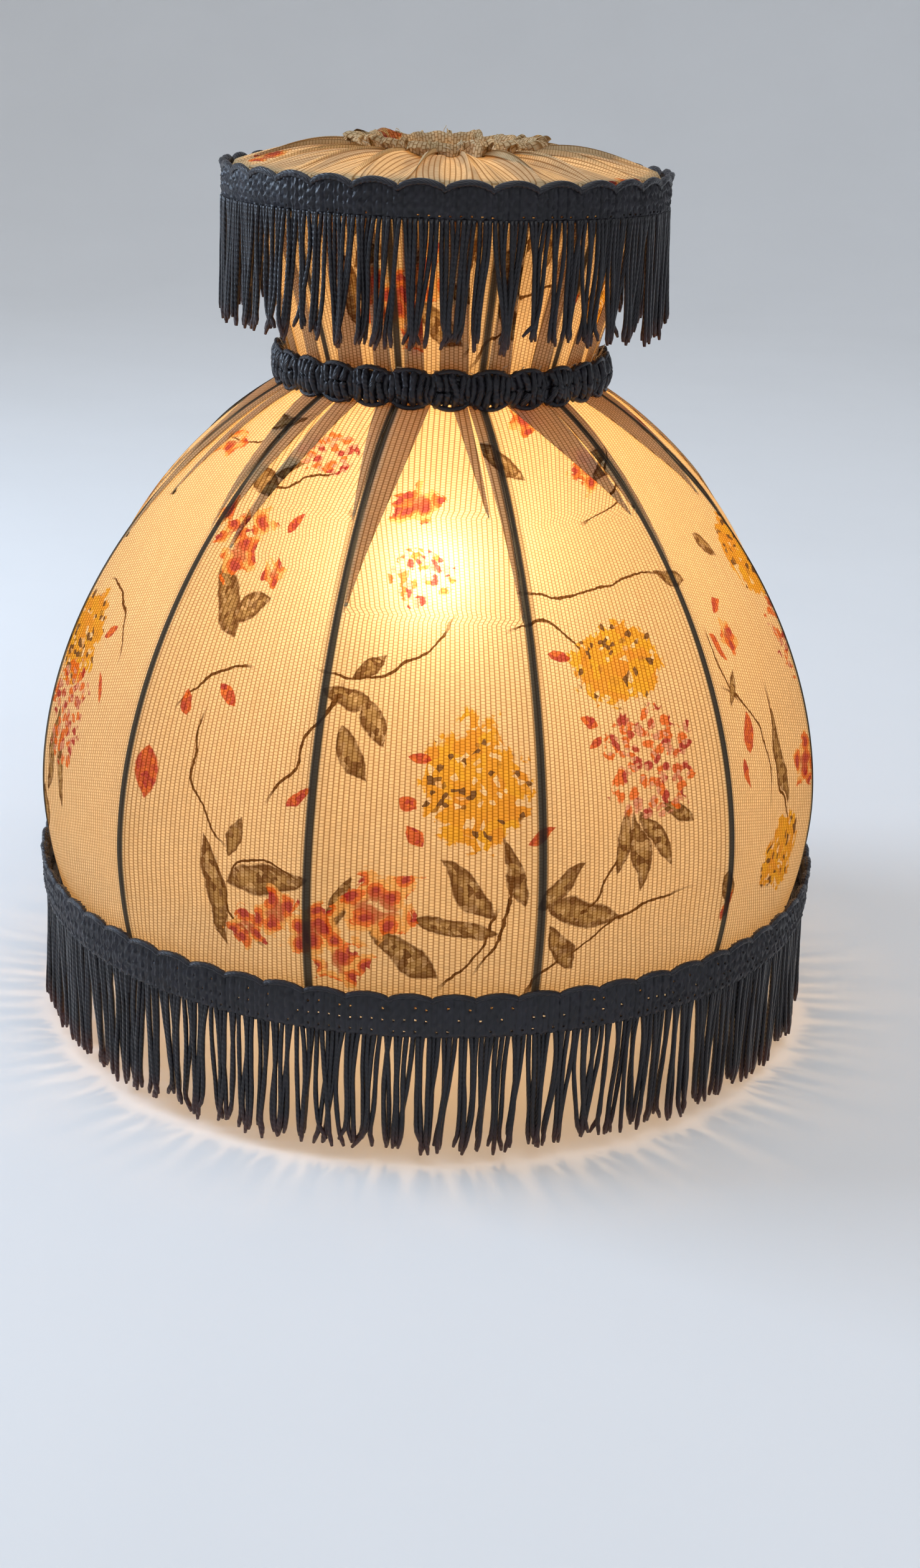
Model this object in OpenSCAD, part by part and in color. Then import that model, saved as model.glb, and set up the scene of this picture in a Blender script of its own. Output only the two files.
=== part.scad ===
// Crown-top fabric lamp shade: a welded wire frame of three rings and two tiers of
// twelve ribs, covered in cloth and trimmed with braid and fringe.
// Millimetres, +Z up. The origin is the centre of the fitter's hole, on the underside
// of the fitter ring, where the lampholder's shoulder meets it.

/* [Dome] */
// Widest diameter of the dome, over the cloth
dome_w = 300; // [240:1:360]
// Height of the dome's widest line above the hem ring
widest_rise = 38; // [30:1:50]
// Height of the curve from the widest line to its apex, were it to run on
dome_reach = 166; // [155:1:175]
// How squarely the dome's side stands before it turns in
dome_shoulder = 1.86; // [1.7:0.01:2.1]
// How fully the dome's curve bulges
dome_fullness = 1.8; // [1.6:0.01:2.0]
// How far a panel's middle drops inside the ribs, as a share of the radius
panel_dip = 0.033; // [0.01:0.001:0.034]

/* [Crown] */
// Diameter of the cloth at the waist
waist_w = 108; // [96:1:130]
// Height of the waist ring above the hem ring
waist_rise = 192; // [190:1:200]
// Diameter of the cloth at the top rim
rim_w = 152; // [130:1:180]
// Height of the top ring above the hem ring
rim_rise = 259; // [240:1:280]
// Diameter of the gathered opening in the top
opening_w = 54; // [44:1:70]
// How far the gathered top puffs up above the rim
top_puff = 3; // [2:0.5:10]
// Height of the ruffle that stands around the opening
ruffle_h = 6.5; // [5:0.5:14]

/* [Frame] */
// Number of ribs in each tier
ribs = 12; // [8:1:12]
// Direction of the first rib, from +X towards +Y
rib_start = 15; // [0:1:29]
// Wire diameter of the ribs
rib_wire = 2.5; // [2:0.1:3]
// Wire diameter of the rings
ring_wire = 3; // [2.5:0.1:3.5]
// Thickness of the tape that is wound on the rings
tape_t = 0.6; // [0.3:0.1:1]

/* [Fitter] */
// Hole for the lampholder
fitter_hole = 42; // [40:0.5:43]
// Outer diameter of the fitter ring
fitter_w = 58; // [54:1:64]
// Sheet thickness of the fitter ring
fitter_t = 1.6; // [1.2:0.1:2]
// Height of the fitter ring's turned-up lip
fitter_lip = 4; // [3:0.5:6]
// How far the fitter stands above the hem ring
fitter_rise = 25; // [15:1:30]
// Number of arms that hold the fitter
arms = 3; // [3:1:4]
// Wire diameter of the arms
arm_wire = 4; // [3:0.1:4]

/* [Cloth and trim] */
// Thickness of the covers
cloth_t = 1.2; // [0.8:0.1:1.5]
// Thickness of the braids
braid_t = 3; // [2:0.1:4]
// Height of the waist braid
waist_braid_h = 12; // [10:0.5:16]
// Height of the hem fringe's heading
hem_heading_h = 16; // [12:0.5:18]
// Height of the crown fringe's heading
crown_heading_h = 12; // [10:0.5:16]
// Length of the hem fringe's cords
hem_fringe_l = 46; // [30:1:60]
// Length of the crown fringe's cords
crown_fringe_l = 42; // [30:1:50]
// Thickness of a curtain of cords
fringe_t = 3; // [2:0.1:4]

/* [Hidden] */
$fn = 96;
fit_gap = 0.1;                                // between pieces that lie on each other
hem_z = -fitter_rise;
waist_z = hem_z + waist_rise;
rim_z = hem_z + rim_rise;
widest_r = dome_w / 2;
waist_r = waist_w / 2;
rim_r = rim_w / 2;
opening_r = opening_w / 2;
rib_r = rib_wire / 2;
ring_r = ring_wire / 2;
panel_a = 360 / ribs;
ring_gap = 0.5;                               // between a ring's tape and the cloth over it
ring_inset = cloth_t + ring_gap + tape_t + ring_r;  // from the cloth's outside to a ring's centre
rib_inset = cloth_t + fit_gap + 1.04 * rib_r;       // the same for a rib, in a panel's corner
braid_rise = hem_heading_h - 6;                     // of the hem heading above the hem ring
dome_steps = 20;
rib_sides = 8;
panel_steps = 4;                              // points across a panel

// Radius of the dome's cloth at height u above the hem ring
function dome_radius(u) =
    widest_r * pow(1 - pow(abs(u - widest_rise) / dome_reach, dome_shoulder), 1 / dome_fullness);

// Height above the hem ring at which the dome has narrowed to the waist
neck_rise = widest_rise
    + dome_reach * pow(1 - pow(waist_r / widest_r, dome_fullness), 1 / dome_shoulder);

// The dome's line from the hem up to the neck, as [radius, z]
dome_line = [for (i = [0:dome_steps])
    let (s = i / dome_steps, u = neck_rise * (1 - pow(1 - s, 1.4)))
    [dome_radius(u), hem_z + u]];

// Ring centres, as [radius, z]
hem_ring_at = [dome_radius(0) - ring_inset, hem_z];
waist_ring_at = [waist_r - ring_inset, waist_z];
top_ring_at = [rim_r - ring_inset, rim_z];

// The crown's line, which keeps its distance from both rings
crown_rib_way = (top_ring_at - waist_ring_at) / norm(top_ring_at - waist_ring_at);
crown_start = waist_ring_at + ring_inset * [crown_rib_way.y, -crown_rib_way.x] + 4 * crown_rib_way;
crown_length = norm(top_ring_at - waist_ring_at) - 2;
crown_line = [for (i = [0:5]) crown_start + crown_rib_way * crown_length * i / 5];
crown_top_z = crown_line[5].y;

// The top's line from the rim, over the puffed pleats and up the ruffle
top_low = rim_z + ring_r + tape_t + fit_gap;
top_line = concat(
    [for (i = [0:6])
        let (s = i / 6)
        [rim_r - 0.6 - s * (rim_r - 0.6 - opening_r), top_low + top_puff * sin(150 * s)]],
    [[opening_r - 0.6, top_low + top_puff * 0.5 + 2],
     [opening_r + 1.5, top_low + top_puff * 0.5 + ruffle_h]]);

function along(path, i) =
    let (d = path[min(i + 1, len(path) - 1)] - path[max(i - 1, 0)]) d / norm(d);
function leftward(path, i) = let (d = along(path, i)) [-d.y, d.x];

// path moved sideways by distance, to the left of its direction
function shifted(path, distance) = [for (i = [0:len(path) - 1]) path[i] + distance * leftward(path, i)];

function turned_back(path) = [for (i = [len(path) - 1:-1:0]) path[i]];

// A closed outline that gives path a thickness on its left
function ribbon(path, thickness) = concat(path, turned_back(shifted(path, thickness)));

// The point of a ring's wire that faces a point of a rib
function weld(ring_at, rib_point) = ring_at + ring_r * (rib_point - ring_at) / norm(rib_point - ring_at);

function triangles(a, b, c, d) = [[a, b, c], [a, c, d]];

// A wire of round section along path, a list of [radius, z], in the plane at angle zero
module wire(path, radius, sides) {
    last = len(path) - 1;
    points = [for (i = [0:last], k = [0:sides - 1])
        let (turn = 360 * k / sides, side = leftward(path, i) * radius * cos(turn))
        [path[i].x + side.x, radius * sin(turn), path[i].y + side.y]];
    walls = [for (i = [0:last - 1], k = [0:sides - 1])
        let (n = (k + 1) % sides)
        each triangles(i * sides + k, (i + 1) * sides + k, (i + 1) * sides + n, i * sides + n)];
    ends = [[for (k = [0:sides - 1]) k], [for (k = [sides - 1:-1:0]) last * sides + k]];
    polyhedron(points, concat(walls, ends));
}

// How far cloth has dropped between two ribs, at share s of its height and share w of the
// way from rib to rib, where the deepest drop is 1
function droop(s, w) = sqrt(max(0, sin(180 * s))) * 4 * w * (1 - w);

// A shell with one flattened panel between each pair of ribs. line is its outside, which
// rings hold round at both ends, and dip is the deepest drop as a share of the radius.
module panelled_shell(line, dip) {
    outline = ribbon(line, cloth_t);
    low = line[0].y;
    high = line[len(line) - 1].y;
    n = len(outline);
    sides = panel_steps * ribs;
    points = [for (j = [0:sides - 1], p = outline)
        let (angle = rib_start + j * panel_a / panel_steps,
             risen = min(1, max(0, (p.y - low) / (high - low))),
             radius = p.x * (1 - dip * droop(risen, (j % panel_steps) / panel_steps)))
        [radius * cos(angle), radius * sin(angle), p.y]];
    walls = [for (j = [0:sides - 1], i = [0:n - 1])
        let (a = j * n, b = ((j + 1) % sides) * n, m = (i + 1) % n)
        each triangles(a + i, a + m, b + m, b + i)];
    polyhedron(points, walls);
}

// A wire ring of round section
module ring(at) {
    rotate_extrude() translate(at) circle(ring_r, $fn = 24);
}

// Tape wound round a ring between the ribs
module tape(at) {
    clear_a = asin((rib_r + 1.2) / at.x);
    for (i = [0:ribs - 1])
        rotate(rib_start + i * panel_a + clear_a)
            rotate_extrude(angle = panel_a - 2 * clear_a)
                translate(at)
                    difference() {
                        circle(ring_r + tape_t, $fn = 24);
                        circle(ring_r, $fn = 24);
                    }
}

module hem_ring() { color([0.16, 0.13, 0.11]) ring(hem_ring_at); }
module waist_ring() { color([0.16, 0.13, 0.11]) ring(waist_ring_at); }
module top_ring() { color([0.16, 0.13, 0.11]) ring(top_ring_at); }

module hem_ring_tape() { color([0.85, 0.8, 0.68]) tape(hem_ring_at); }
module waist_ring_tape() { color([0.85, 0.8, 0.68]) tape(waist_ring_at); }
module top_ring_tape() { color([0.85, 0.8, 0.68]) tape(top_ring_at); }

// A dome rib runs inside a panel's corner from the hem ring up to the waist ring
module dome_rib(number) {
    bowed = shifted(dome_line, rib_inset);
    middle = [for (i = [2:dome_steps]) bowed[i]];
    path = concat([weld(hem_ring_at, middle[0])], middle,
                  [weld(waist_ring_at, middle[len(middle) - 1])]);
    color([0.16, 0.13, 0.11])
        rotate(rib_start + (number - 1) * panel_a) wire(path, rib_r, rib_sides);
}

// A crown rib is a straight wire from the waist ring up to the top ring
module crown_rib(number) {
    path = [weld(waist_ring_at, top_ring_at), weld(top_ring_at, waist_ring_at)];
    color([0.16, 0.13, 0.11])
        rotate(rib_start + (number - 1) * panel_a) wire(path, rib_r, rib_sides);
}

// A pressed ring with a turned-up lip, which the lampholder passes through
module fitter_ring() {
    hole_r = fitter_hole / 2;
    outer_r = fitter_w / 2;
    color([0.7, 0.6, 0.35])
        rotate_extrude()
            polygon([[hole_r, 0], [outer_r, 0], [outer_r, fitter_lip], [outer_r - fitter_t, fitter_lip],
                     [outer_r - fitter_t, fitter_t], [hole_r, fitter_t]]);
}

// An arm rises in an easy S from the hem ring to the fitter's lip, below a rib
module fitter_arm(number) {
    from_r = hem_ring_at.x - ring_r;
    to_r = fitter_w / 2;
    steps = 16;
    path = [for (i = [0:steps])
        let (s = i / steps)
        [from_r + (to_r - from_r) * s, hem_z + (fitter_lip / 2 - hem_z) * s * s * (3 - 2 * s)]];
    color([0.16, 0.13, 0.11])
        rotate(rib_start + 60 + (number - 1) * 360 / arms) wire(path, arm_wire / 2, 12);
}

module dome_cover() { color([0.93, 0.85, 0.68]) panelled_shell(dome_line, panel_dip); }
module crown_cover() { color([0.93, 0.85, 0.68]) panelled_shell(crown_line, panel_dip / 3); }

// The top is gathered into a ruffle round a small opening, through which heat leaves
module top_cover() {
    color([0.93, 0.88, 0.76])
        rotate_extrude() polygon(ribbon(top_line, -cloth_t));
}

// The drawstring that holds the gathers, tied round the ruffle's foot
module gather_cord() {
    foot = top_line[7];
    color([0.9, 0.86, 0.75])
        rotate_extrude() translate([foot.x + cloth_t + 1.8, foot.y + 1]) circle(0.9, $fn = 24);
}

// A band of braid on the outside of path
module band(path) {
    color([0.1, 0.07, 0.08])
        rotate_extrude() polygon(ribbon(shifted(path, -fit_gap), -braid_t));
}

module waist_braid() {
    low = waist_z - waist_braid_h / 2 + 1;
    outer = waist_r + 1;
    band([[dome_radius(low - hem_z) + 1, low], [outer, low + 4], [outer, low + waist_braid_h - 4],
          [outer + 2, low + waist_braid_h]]);
}

module hem_braid() {
    band([[dome_radius(0), hem_z + braid_rise - hem_heading_h], [dome_radius(0), hem_z],
          [dome_radius(braid_rise), hem_z + braid_rise]]);
}

module crown_braid() {
    high = top_low + fit_gap + cloth_t;
    outer = rim_r + 0.6;
    band([[outer - 1.8, high - crown_heading_h], [outer, crown_top_z], [outer, high]]);
}

// A curtain of cords that hangs from a heading: inner radius, top and length
module curtain(inner, high, drop) {
    color([0.1, 0.07, 0.08])
        rotate_extrude() translate([inner, high - drop]) square([fringe_t, drop]);
}

module hem_fringe() {
    curtain(dome_radius(0) + 1.5, hem_z + braid_rise - hem_heading_h - fit_gap, hem_fringe_l);
}

module crown_fringe() {
    curtain(rim_r + 1.5, top_low - crown_heading_h, crown_fringe_l);
}

hem_ring();
waist_ring();
top_ring();
hem_ring_tape();
waist_ring_tape();
top_ring_tape();
dome_rib(1);  // dome_rib_01
dome_rib(2);  // dome_rib_02
dome_rib(3);  // dome_rib_03
dome_rib(4);  // dome_rib_04
dome_rib(5);  // dome_rib_05
dome_rib(6);  // dome_rib_06
dome_rib(7);  // dome_rib_07
dome_rib(8);  // dome_rib_08
dome_rib(9);  // dome_rib_09
dome_rib(10);  // dome_rib_10
dome_rib(11);  // dome_rib_11
dome_rib(12);  // dome_rib_12
crown_rib(1);  // crown_rib_01
crown_rib(2);  // crown_rib_02
crown_rib(3);  // crown_rib_03
crown_rib(4);  // crown_rib_04
crown_rib(5);  // crown_rib_05
crown_rib(6);  // crown_rib_06
crown_rib(7);  // crown_rib_07
crown_rib(8);  // crown_rib_08
crown_rib(9);  // crown_rib_09
crown_rib(10);  // crown_rib_10
crown_rib(11);  // crown_rib_11
crown_rib(12);  // crown_rib_12
fitter_ring();
fitter_arm(1);  // fitter_arm_1
fitter_arm(2);  // fitter_arm_2
fitter_arm(3);  // fitter_arm_3
dome_cover();
crown_cover();
top_cover();
gather_cord();
waist_braid();
hem_braid();
hem_fringe();
crown_braid();
crown_fringe();
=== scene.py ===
"""Looks for a crown-top fabric lamp shade: pleated printed cloth, puckered braids and corded fringes
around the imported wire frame. Metres, +Z up, origin at the centre of the fitter's hole."""

import math

import bmesh
import bpy
import numpy as np
from mathutils import Matrix, Vector


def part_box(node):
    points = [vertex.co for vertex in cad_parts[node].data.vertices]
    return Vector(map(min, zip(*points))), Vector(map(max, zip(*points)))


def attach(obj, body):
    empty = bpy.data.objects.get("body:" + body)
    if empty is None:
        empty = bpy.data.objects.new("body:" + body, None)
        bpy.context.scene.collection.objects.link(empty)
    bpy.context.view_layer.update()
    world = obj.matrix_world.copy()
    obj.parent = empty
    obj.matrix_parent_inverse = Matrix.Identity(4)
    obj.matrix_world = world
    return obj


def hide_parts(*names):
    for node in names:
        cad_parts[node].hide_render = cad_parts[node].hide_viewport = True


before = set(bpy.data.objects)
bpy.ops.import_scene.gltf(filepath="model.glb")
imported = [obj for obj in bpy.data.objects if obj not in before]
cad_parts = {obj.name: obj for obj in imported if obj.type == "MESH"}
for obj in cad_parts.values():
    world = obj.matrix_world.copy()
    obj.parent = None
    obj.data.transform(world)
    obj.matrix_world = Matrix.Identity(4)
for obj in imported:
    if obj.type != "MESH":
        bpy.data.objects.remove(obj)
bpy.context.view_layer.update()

MM = 0.001
TURN = 2 * math.pi

# ---------------------------------------------------------------- sizes, from the frame


def middle(node):
    low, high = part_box(node)
    return (low + high) / 2


def reach(node):
    """The largest and the smallest distance of a node's points from the shade's axis."""
    points = np.array([v.co[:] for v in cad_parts[node].data.vertices])
    across = np.hypot(points[:, 0], points[:, 1])
    return across.max(), across.min()


RIBS = 12
RIB_START = math.radians(15)
PANEL_ANGLE = TURN / RIBS

hem_z = middle("hem_ring").z
widest_r = reach("dome_cover")[0]
# The folded cloth stands a little clear of the tape that it is sewn to
waist_r = reach("waist_ring_tape")[0] + 1.7 * MM
dome_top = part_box("dome_cover")[1].z
crown_low, crown_top = (corner.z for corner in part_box("crown_cover"))

# The dome's outline is that of the design, a curve that bulges most a little above the hem
WIDEST_RISE = 38 * MM
DOME_REACH = 166 * MM
DOME_SHOULDER = 1.86
DOME_FULLNESS = 1.8
CROWN_CLOTH = 1.2 * MM


def dome_radius(z):
    share = np.abs(z - hem_z - WIDEST_RISE) / DOME_REACH
    return widest_r * (1 - np.minimum(share, 0.999) ** DOME_SHOULDER) ** (1 / DOME_FULLNESS)


def crown_radius(z):
    """The crown's side is straight, from the outer face at the waist out to the rim."""
    wide, narrow = reach("crown_cover")
    narrow += CROWN_CLOTH
    return narrow + (wide - narrow) * (z - crown_low) / (crown_top - crown_low)


# ---------------------------------------------------------------- mesh helpers


def new_object(name, points, faces, uv=None):
    """A smooth mesh object. uv, if given, holds one pair per point."""
    mesh = bpy.data.meshes.new(name)
    mesh.from_pydata([tuple(p) for p in points], [], faces)
    if uv is not None:
        layer = mesh.uv_layers.new(name="UVMap")
        corner_points = np.zeros(len(mesh.loops), dtype=np.int32)
        mesh.loops.foreach_get("vertex_index", corner_points)
        layer.data.foreach_set("uv", np.asarray(uv, dtype=np.float32)[corner_points].ravel())
    mesh.polygons.foreach_set("use_smooth", [True] * len(mesh.polygons))
    mesh.update()
    piece = bpy.data.objects.new(name, mesh)
    bpy.context.scene.collection.objects.link(piece)
    return piece


def grid_faces(rows, columns, start=0, wrap=False):
    """Quads for rows x columns points in row order. With wrap, each row closes on itself."""
    faces = []
    for i in range(rows - 1):
        for j in range(columns if wrap else columns - 1):
            k = (j + 1) % columns
            a, b = start + i * columns, start + (i + 1) * columns
            faces.append((a + j, a + k, b + k, b + j))
    return faces


def smoothstep(x, low=0.0, high=1.0):
    t = np.clip((np.asarray(x, dtype=float) - low) / (high - low), 0, 1)
    return t * t * (3 - 2 * t)


class Tubes:
    """Many round cords gathered in one mesh. u runs along a cord in metres, v around it."""

    def __init__(self, sides):
        self.sides = sides
        self.points, self.faces, self.uv = [], [], []
        self.count = 0

    def add(self, path, radius, closed=False):
        """path is an (n, 3) array, radius one number or one for each point."""
        path = np.asarray(path, dtype=float)
        n = len(path)
        if closed:
            ahead, behind = np.roll(path, -1, axis=0), np.roll(path, 1, axis=0)
            along = ahead - behind
        else:
            along = np.gradient(path, axis=0)
        along /= np.linalg.norm(along, axis=1)[:, None] + 1e-12
        if abs(along[0][2]) < 0.8:
            reference = np.array([0.0, 0.0, 1.0])
        else:
            reference = path[0] * [1, 1, 0] + [1e-6, 0, 0]
        side = np.cross(along, reference)
        side /= np.linalg.norm(side, axis=1)[:, None] + 1e-12
        other = np.cross(along, side)
        turn = np.arange(self.sides) * TURN / self.sides
        radius = np.broadcast_to(np.asarray(radius, dtype=float), (n,))
        ring = (np.cos(turn)[None, :, None] * side[:, None, :]
                + np.sin(turn)[None, :, None] * other[:, None, :])
        points = path[:, None, :] + ring * radius[:, None, None]
        steps = np.linalg.norm(np.diff(path, axis=0), axis=1)
        u = np.concatenate([[0], np.cumsum(steps)])
        start = self.count
        self.points.append(points.reshape(-1, 3))
        self.uv.append(np.stack(np.broadcast_arrays(u[:, None], (turn / TURN)[None, :]), -1).reshape(-1, 2))
        self.faces += grid_faces(n, self.sides, start, wrap=True)
        if closed:
            last = start + (n - 1) * self.sides
            for j in range(self.sides):
                k = (j + 1) % self.sides
                self.faces.append((last + j, last + k, start + k, start + j))
        else:
            self.faces.append(tuple(start + j for j in reversed(range(self.sides))))
            self.faces.append(tuple(start + (n - 1) * self.sides + j for j in range(self.sides)))
        self.count += n * self.sides

    def build(self, name):
        return new_object(name, np.concatenate(self.points), self.faces, np.concatenate(self.uv))


# ---------------------------------------------------------------- pleated covers

FULL_FOLD = 4 * MM
SHALLOWEST_FOLD = 0.4 * MM
FOLD_BEND = 0.3 * MM
SAG = 0.5 * MM
RIPPLE = 0.3 * MM


def pleat_stations(gaps, folds, length, depths):
    """The run of cloth across one panel, for every height at once.

    gaps and folds are shares, in turn from the left rib: gap, fold, gap, ..., gap. length is
    the width of the panel and depths are the widths of the folds, for every height. A fold is
    a Z of three layers, turned to the right, or to the left if its share is below zero. It
    lies flat where it is deep and fades into the single cloth where it runs out. Returns the
    place across the panel, the layer (2 is the outermost) and the place in the flat cloth,
    each as columns x heights."""
    gaps = np.array(gaps) / sum(gaps)
    sides = np.sign(folds)
    crisp = [smoothstep(depth, 0.05 * MM, FULL_FOLD) for depth in depths]
    single = length - sum(depths)
    across, layer = [], []

    def put(x, n):
        across.append(x)
        layer.append(np.broadcast_to(n, length.shape))

    at = np.zeros_like(length)
    for number, gap in enumerate(gaps):
        width = gap * single
        steps = max(4, int(round(14 * gap)))
        falls_from = 2 * crisp[number - 1] if number > 0 and sides[number - 1] < 0 else 0.0
        rises_to = 2 * crisp[number] if number < len(folds) and sides[number] > 0 else 0.0
        for step in range(steps + 1):
            share = step / steps
            left_behind = falls_from * max(0.0, 1 - 4 * share)
            coming_up = rises_to * max(0.0, 4 * share - 3)
            put(at + width * share, left_behind + coming_up)
        at = at + width
        if number == len(folds):
            break
        fold = depths[number]
        bend = np.minimum(fold, FOLD_BEND)
        layers = (2, 1, 0) if sides[number] > 0 else (0, 1, 2)
        first, second, third = (n * crisp[number] for n in layers)
        for step in range(1, 4):
            put(at + fold * step / 3, first)
        put(at + fold + bend, (first + second) / 2)
        for step in range(4):
            put(at + fold * (1 - step / 3), second)
        put(at - bend, (second + third) / 2)
        for step in range(4):
            put(at + fold * step / 3, third)
        at = at + fold
    across, layer = np.array(across), np.array(layer)
    flat = np.concatenate([np.zeros((1, len(length))), np.cumsum(np.abs(np.diff(across, axis=0)), axis=0)])
    return across, layer, flat


def cloth_ripple(rng, count):
    """A smooth random wave on 0..1, as a function."""
    sizes = rng.normal(0, 1, count) / np.arange(1, count + 1)
    phases = rng.uniform(0, TURN, count)
    waves = np.arange(1, count + 1) * math.pi

    def wave(x):
        x = np.asarray(x, dtype=float)
        return sum(s * np.sin(w * x + p) for s, w, p in zip(sizes, waves, phases))

    return wave


def pleated_cover(name, heights, outline, folded, print_width, layouts, flatness, layer_gap, seed):
    """A tube of cloth over the ribs, folded wherever the frame is narrower than the cloth.

    outline gives the greatest radius at each rib for the heights. folded tells, for a fold's
    own run-out, the share of a panel that folds cover at each height. print_width is the
    width of print between two ribs and layouts the pleats of each panel, as (gaps, folds).
    flatness is each height's share of the way from round to flat between the ribs. The cloth
    sags inward between them and ripples a little."""
    rng = np.random.default_rng(seed)
    radius = outline(heights)
    slope = np.gradient(radius, heights)
    length_along = np.concatenate([[0], np.cumsum(np.hypot(np.diff(radius), np.diff(heights)))])
    normal_r = 1 / np.hypot(1, slope)
    normal_z = -slope * normal_r
    chord = 2 * radius * math.sin(PANEL_ANGLE / 2)
    columns, uv = [], []
    for panel in range(RIBS):
        gaps, folds = layouts[panel % len(layouts)]
        shares = np.abs(folds) / sum(np.abs(folds))
        depths = [share * folded(rng.uniform(0.7, 1.25)) * chord for share in shares]
        depths = [np.where(depth < SHALLOWEST_FOLD, 0, depth) for depth in depths]
        across, layer, flat = pleat_stations(gaps, folds, chord, depths)
        flat = flat * (print_width / flat[-1])
        share = across / chord
        ripple = cloth_ripple(rng, 3)(share) * RIPPLE
        angle_start = RIB_START + panel * PANEL_ANGLE
        from_middle = (share - 0.5) * chord
        inner = radius * math.cos(PANEL_ANGLE / 2)
        angle = angle_start + PANEL_ANGLE / 2 + np.arctan2(from_middle, inner)
        flat_r = np.hypot(inner, from_middle)
        held = np.sin(np.clip(share, 0, 1) * math.pi)
        base = radius + (flat_r - radius) * flatness
        base = base + (ripple - SAG * np.clip(flatness, 0, 1)) * held
        offset = (layer - 2) * layer_gap
        r = base + offset * normal_r
        z = heights + offset * normal_z
        points = np.stack([r * np.cos(angle), r * np.sin(angle), np.broadcast_to(z, r.shape)], -1)
        if panel:
            points, flat = points[1:], flat[1:]
        columns.append(points)
        uv.append(np.stack([panel * print_width + flat, np.broadcast_to(length_along, flat.shape)], -1))
    points, uv = np.concatenate(columns), np.concatenate(uv)
    n_columns, n_rows = points.shape[:2]
    faces = [tuple(reversed(f)) for f in grid_faces(n_columns, n_rows)]
    piece = new_object(name, points.reshape(-1, 3), faces, uv.reshape(-1, 2))
    weld(piece, 0.02 * MM)
    return piece


def weld(piece, distance):
    """Merges points that lie on each other and drops the faces that vanish with them."""
    work = bmesh.new()
    work.from_mesh(piece.data)
    bmesh.ops.remove_doubles(work, verts=work.verts, dist=distance)
    bmesh.ops.dissolve_degenerate(work, edges=work.edges, dist=distance / 2)
    work.to_mesh(piece.data)
    work.free()


# ---------------------------------------------------------------- trims


def solid_sheet(piece, thickness):
    """Gives an open sheet a thickness, inward from its face."""
    shell = piece.modifiers.new("thickness", "SOLIDIFY")
    shell.thickness = thickness
    shell.offset = -1
    evaluated = piece.evaluated_get(bpy.context.evaluated_depsgraph_get())
    finished = bpy.data.meshes.new_from_object(evaluated)
    old = piece.data
    piece.modifiers.clear()
    piece.data = finished
    bpy.data.meshes.remove(old)


def around(angle, radius, z):
    """Points at angles, radii and heights, as an array with x, y, z last."""
    angle, radius, z = np.broadcast_arrays(angle, radius, z)
    return np.stack([radius * np.cos(angle), radius * np.sin(angle), z], -1)


def scallop(angle, count):
    """The outline of a row of round scallops, 0 in the valleys and 1 on the crests."""
    return np.abs(np.sin(angle * count / 2)) ** 0.7


def openwork_band(name, radius, low, top, scallops, rise, meshes, hole_rows, relief, seed):
    """A braided heading: a band with a scalloped top, a relief of cords and rows of small holes.

    hole_rows gives, for a row of the grid, the share of its meshes that are open."""
    rng = np.random.default_rng(seed)
    across, rows = 5, 19
    columns = meshes * across
    angle = TURN * np.arange(columns) / columns
    share = np.linspace(0, 1, rows)[:, None]
    edge = top - rise * (1 - scallop(angle, scallops))
    z = low + (edge - low) * share
    cord = np.abs(np.sin(angle * meshes)) ** 0.8
    chain = 0.5 + 0.5 * np.sin(TURN * 3.5 * share + 2 * np.sin(angle * meshes))
    wander = rng.normal(0, 0.12, (rows, columns))
    roll = np.sin(math.pi * np.clip(share, 0.02, 0.98)) ** 0.3 - 1
    r = radius + relief * (0.75 * cord + 0.45 * chain + wander) + 1.2 * MM * roll
    points = around(angle, r, z).reshape(-1, 3)
    uv = np.stack(np.broadcast_arrays(angle * radius, z - low), -1).reshape(-1, 2)
    faces = grid_faces(rows, columns, wrap=True)
    closed = []
    for index, face in enumerate(faces):
        row, column = divmod(index, columns)
        hole = column % across == 2 and row in hole_rows and rng.random() < hole_rows[row]
        if not hole:
            closed.append(face)
    band = new_object(name, points, closed, uv)
    solid_sheet(band, 1.0 * MM)
    return band


def scallop_cord(name, radius, top, scallops, rise, thickness, seed):
    """The thick cord that runs along a scalloped edge."""
    rng = np.random.default_rng(seed)
    tubes = Tubes(7)
    count = scallops * 14
    angle = TURN * np.arange(count) / count
    z = top - rise * (1 - scallop(angle, scallops)) - thickness * 0.5
    r = radius + rng.normal(0, 0.1 * MM, count) + 0.5 * MM * scallop(angle, scallops)
    tubes.add(around(angle, r, z), thickness / 2, closed=True)
    return tubes.build(name)


def strand_groups(rng, count, small, large):
    """Splits a ring of strands into neighbouring groups: each strand's group and the middles."""
    group, middles, at = np.zeros(count, dtype=int), [], 0
    while at < count:
        size = min(int(rng.integers(small, large + 1)), count - at)
        group[at:at + size] = len(middles)
        middles.append(at + (size - 1) / 2)
        at += size
    return group, np.array(middles)


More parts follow.
